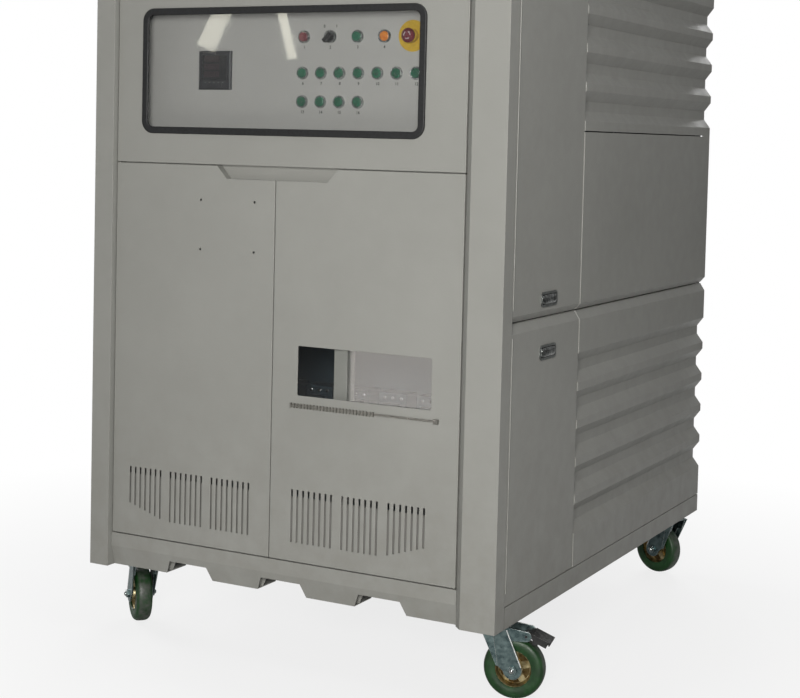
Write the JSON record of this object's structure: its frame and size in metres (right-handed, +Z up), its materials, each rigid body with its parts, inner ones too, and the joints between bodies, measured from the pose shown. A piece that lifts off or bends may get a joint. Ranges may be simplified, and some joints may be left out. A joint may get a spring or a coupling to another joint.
{
  "type": "generator load bank",
  "caption": "Steel cabinet load bank on swivel casters, with a control window, vented front doors and corrugated louvre side doors over fans and resistor racks.",
  "frame": {"origin": "on the floor under the centre of the cabinet", "axes": "+Z up, the control window and front doors face -Y, +X to the right seen from the front"},
  "size_m": [1.3018, 1.48, 1.79],
  "materials": {
    "cabinet_paint": "warm light grey powder coat",
    "galvanised_sheet": "galvanised sheet with a fine spangle",
    "gasket_rubber": "extruded black rubber",
    "clear_pane": "clear polycarbonate",
    "bright_steel": "turned bright steel",
    "panel_paint": "satin grey paint",
    "meter_plastic": "black moulded plastic",
    "bezel_chrome": "chrome plated",
    "lamp_lens": "moulded lens",
    "red_plastic": "gloss red moulding",
    "green_plastic": "gloss green moulding",
    "black_plastic": "gloss black moulding",
    "yellow_plastic": "gloss yellow moulding",
    "motor_paint": "blue grey machine paint",
    "fan_plastic": "black glass filled nylon",
    "sheath_steel": "stainless heater sheath",
    "contactor_plastic": "blue green moulded housings",
    "busbar_copper": "bare copper",
    "zinc_plate": "zinc plated pressed steel",
    "tyre_green": "green polyurethane tread",
    "hub_gold": "gold passivated cast hub",
    "pedal_black": "black painted steel",
    "latch_chrome": "satin chrome plated zinc casting",
    "latch_black": "black moulded paddle"
  },
  "bodies": {
    "cabinet": {"base_frame": "cabinet_paint", "busbars": "busbar_copper", "cabinet_frame": "cabinet_paint", "caster_plates": "zinc_plate", "contactors": "contactor_plastic", "digital_meter": "meter_plastic", "door_pivots": "bright_steel", "estop_ring": "yellow_plastic", "fan_motors": "motor_paint", "fan_rings": "galvanised_sheet", "floor_pan": "galvanised_sheet", "inner_walls": "galvanised_sheet", "instrument_panel": "panel_paint", "lamp_bezels": "bezel_chrome", "pilot_lamps": "lamp_lens", "rear_panel": "cabinet_paint", "resistor_racks": "galvanised_sheet", "resistor_tubes": "sheath_steel", "roof_panel": "cabinet_paint"},
    "control_door": {"control_door": "cabinet_paint", "window_gasket": "gasket_rubber", "window_pane": "clear_pane"},
    "left_door": {"left_door": "cabinet_paint"},
    "right_door": {"right_door": "cabinet_paint", "sight_glass": "clear_pane", "window_track": "bright_steel"},
    "red_button": {"red_button": "red_plastic"},
    "green_button": {"green_button": "green_plastic"},
    "selector_knob": {"selector_knob": "black_plastic"},
    "estop_button": {"estop_button": "red_plastic"},
    "lower_fan_rotor": {"lower_fan_rotor": "fan_plastic"},
    "upper_fan_rotor": {"upper_fan_rotor": "fan_plastic"},
    "right_upper_door": {"right_upper_door": "cabinet_paint", "right_upper_latch_dish": "latch_chrome"},
    "right_upper_latch": {"right_upper_latch_paddle": "latch_black"},
    "right_lower_door": {"right_lower_door": "cabinet_paint", "right_lower_latch_dish": "latch_chrome"},
    "right_lower_latch": {"right_lower_latch_paddle": "latch_black"},
    "left_upper_door": {"left_upper_door": "cabinet_paint", "left_upper_latch_dish": "latch_chrome"},
    "left_upper_latch": {"left_upper_latch_paddle": "latch_black"},
    "left_lower_door": {"left_lower_door": "cabinet_paint", "left_lower_latch_dish": "latch_chrome"},
    "left_lower_latch": {"left_lower_latch_paddle": "latch_black"},
    "front_right_caster": {"front_right_fork": "zinc_plate"},
    "front_right_wheel": {"front_right_hub": "hub_gold", "front_right_tyre": "tyre_green"},
    "front_right_brake": {"front_right_pedal": "pedal_black"},
    "front_left_caster": {"front_left_fork": "zinc_plate"},
    "front_left_wheel": {"front_left_hub": "hub_gold", "front_left_tyre": "tyre_green"},
    "front_left_brake": {"front_left_pedal": "pedal_black"},
    "rear_right_caster": {"rear_right_fork": "zinc_plate"},
    "rear_right_wheel": {"rear_right_hub": "hub_gold", "rear_right_tyre": "tyre_green"},
    "rear_right_brake": {"rear_right_pedal": "pedal_black"},
    "rear_left_caster": {"rear_left_fork": "zinc_plate"},
    "rear_left_wheel": {"rear_left_hub": "hub_gold", "rear_left_tyre": "tyre_green"},
    "rear_left_brake": {"rear_left_pedal": "pedal_black"}
  },
  "joints": [
    {"name": "control_door_hinge", "type": "hinge", "parent": "cabinet", "child": "control_door", "pos_m": [-0.511, -0.719, 1.4], "axis": [0, 0, -1], "range_deg": [0, 88]},
    {"name": "left_door_hinge", "type": "hinge", "parent": "cabinet", "child": "left_door", "pos_m": [-0.511, -0.719, 0.7], "axis": [0, 0, -1], "range_deg": [0, 88]},
    {"name": "right_door_hinge", "type": "hinge", "parent": "cabinet", "child": "right_door", "pos_m": [0.461, -0.719, 0.7], "axis": [0, 0, 1], "range_deg": [0, 105]},
    {"name": "right_upper_door_hinge", "type": "hinge", "parent": "cabinet", "child": "right_upper_door", "pos_m": [0.5565, 0.7355, 1.325], "axis": [0, 0, 1], "range_deg": [0, 110]},
    {"name": "right_upper_latch_pivot", "type": "hinge", "parent": "right_upper_door", "child": "right_upper_latch", "pos_m": [0.573, -0.5108, 0.933], "axis": [0, 0, -1], "range_deg": [0, 30], "stiffness_Nm_per_rad": 0.3},
    {"name": "right_lower_door_hinge", "type": "hinge", "parent": "cabinet", "child": "right_lower_door", "pos_m": [0.5565, 0.7355, 0.525], "axis": [0, 0, 1], "range_deg": [0, 110]},
    {"name": "right_lower_latch_pivot", "type": "hinge", "parent": "right_lower_door", "child": "right_lower_latch", "pos_m": [0.573, -0.5108, 0.807], "axis": [0, 0, -1], "range_deg": [0, 30], "stiffness_Nm_per_rad": 0.3},
    {"name": "left_upper_door_hinge", "type": "hinge", "parent": "cabinet", "child": "left_upper_door", "pos_m": [-0.5565, 0.7355, 1.325], "axis": [0, 0, -1], "range_deg": [0, 110]},
    {"name": "left_upper_latch_pivot", "type": "hinge", "parent": "left_upper_door", "child": "left_upper_latch", "pos_m": [-0.573, -0.5108, 0.933], "axis": [0, 0, 1], "range_deg": [0, 30], "stiffness_Nm_per_rad": 0.3},
    {"name": "left_lower_door_hinge", "type": "hinge", "parent": "cabinet", "child": "left_lower_door", "pos_m": [-0.5565, 0.7355, 0.525], "axis": [0, 0, -1], "range_deg": [0, 110]},
    {"name": "left_lower_latch_pivot", "type": "hinge", "parent": "left_lower_door", "child": "left_lower_latch", "pos_m": [-0.573, -0.5108, 0.807], "axis": [0, 0, 1], "range_deg": [0, 30], "stiffness_Nm_per_rad": 0.3},
    {"name": "red_button_press", "type": "slide", "parent": "cabinet", "child": "red_button", "axis": [0, 1, 0], "range_m": [0, 0.004], "stiffness_N_per_m": 400},
    {"name": "green_button_press", "type": "slide", "parent": "cabinet", "child": "green_button", "axis": [0, 1, 0], "range_m": [0, 0.004], "stiffness_N_per_m": 400},
    {"name": "estop_press", "type": "slide", "parent": "cabinet", "child": "estop_button", "axis": [0, 1, 0], "range_m": [0, 0.006], "stiffness_N_per_m": 800},
    {"name": "selector_turn", "type": "hinge", "parent": "cabinet", "child": "selector_knob", "pos_m": [0.069, -0.66, 1.544], "axis": [0, 1, 0], "range_deg": [0, 90]},
    {"name": "lower_fan_spin", "type": "hinge", "parent": "cabinet", "child": "lower_fan_rotor", "pos_m": [-0.36, 0.23, 0.61413], "axis": [1, 0, 0], "continuous": true},
    {"name": "upper_fan_spin", "type": "hinge", "parent": "cabinet", "child": "upper_fan_rotor", "pos_m": [-0.36, 0.23, 1.35737], "axis": [1, 0, 0], "continuous": true},
    {"name": "front_right_swivel", "type": "hinge", "parent": "cabinet", "child": "front_right_caster", "pos_m": [0.516, -0.59, 0.175], "axis": [0, 0, 1], "continuous": true},
    {"name": "front_right_wheel_spin", "type": "hinge", "parent": "front_right_caster", "child": "front_right_wheel", "pos_m": [0.55806, -0.58106, 0.073], "axis": [-0.2079, 0.9781, 0], "continuous": true},
    {"name": "front_right_brake_press", "type": "hinge", "parent": "front_right_caster", "child": "front_right_brake", "pos_m": [0.58838, -0.57461, 0.155], "axis": [-0.2079, 0.9781, 0], "range_deg": [0, 8], "stiffness_Nm_per_rad": 2},
    {"name": "front_left_swivel", "type": "hinge", "parent": "cabinet", "child": "front_left_caster", "pos_m": [-0.516, -0.59, 0.175], "axis": [0, 0, 1], "continuous": true},
    {"name": "front_left_wheel_spin", "type": "hinge", "parent": "front_left_caster", "child": "front_left_wheel", "pos_m": [-0.54795, -0.56123, 0.073], "axis": [-0.6691, -0.7431, 0], "continuous": true},
    {"name": "front_left_brake_press", "type": "hinge", "parent": "front_left_caster", "child": "front_left_brake", "pos_m": [-0.57099, -0.54048, 0.155], "axis": [-0.6691, -0.7431, 0], "range_deg": [0, 8], "stiffness_Nm_per_rad": 2},
    {"name": "rear_right_swivel", "type": "hinge", "parent": "cabinet", "child": "rear_right_caster", "pos_m": [0.516, 0.67, 0.175], "axis": [0, 0, 1], "continuous": true},
    {"name": "rear_right_wheel_spin", "type": "hinge", "parent": "rear_right_caster", "child": "rear_right_wheel", "pos_m": [0.4751, 0.68329, 0.073], "axis": [-0.309, -0.9511, 0], "continuous": true},
    {"name": "rear_right_brake_press", "type": "hinge", "parent": "rear_right_caster", "child": "rear_right_brake", "pos_m": [0.44562, 0.69287, 0.155], "axis": [-0.309, -0.9511, 0], "range_deg": [0, 8], "stiffness_Nm_per_rad": 2},
    {"name": "rear_left_swivel", "type": "hinge", "parent": "cabinet", "child": "rear_left_caster", "pos_m": [-0.516, 0.67, 0.175], "axis": [0, 0, 1], "continuous": true},
    {"name": "rear_left_wheel_spin", "type": "hinge", "parent": "rear_left_caster", "child": "rear_left_wheel", "pos_m": [-0.55806, 0.67894, 0.073], "axis": [-0.2079, -0.9781, 0], "continuous": true},
    {"name": "rear_left_brake_press", "type": "hinge", "parent": "rear_left_caster", "child": "rear_left_brake", "pos_m": [-0.58838, 0.68539, 0.155], "axis": [-0.2079, -0.9781, 0], "range_deg": [0, 8], "stiffness_Nm_per_rad": 2}
  ]
}
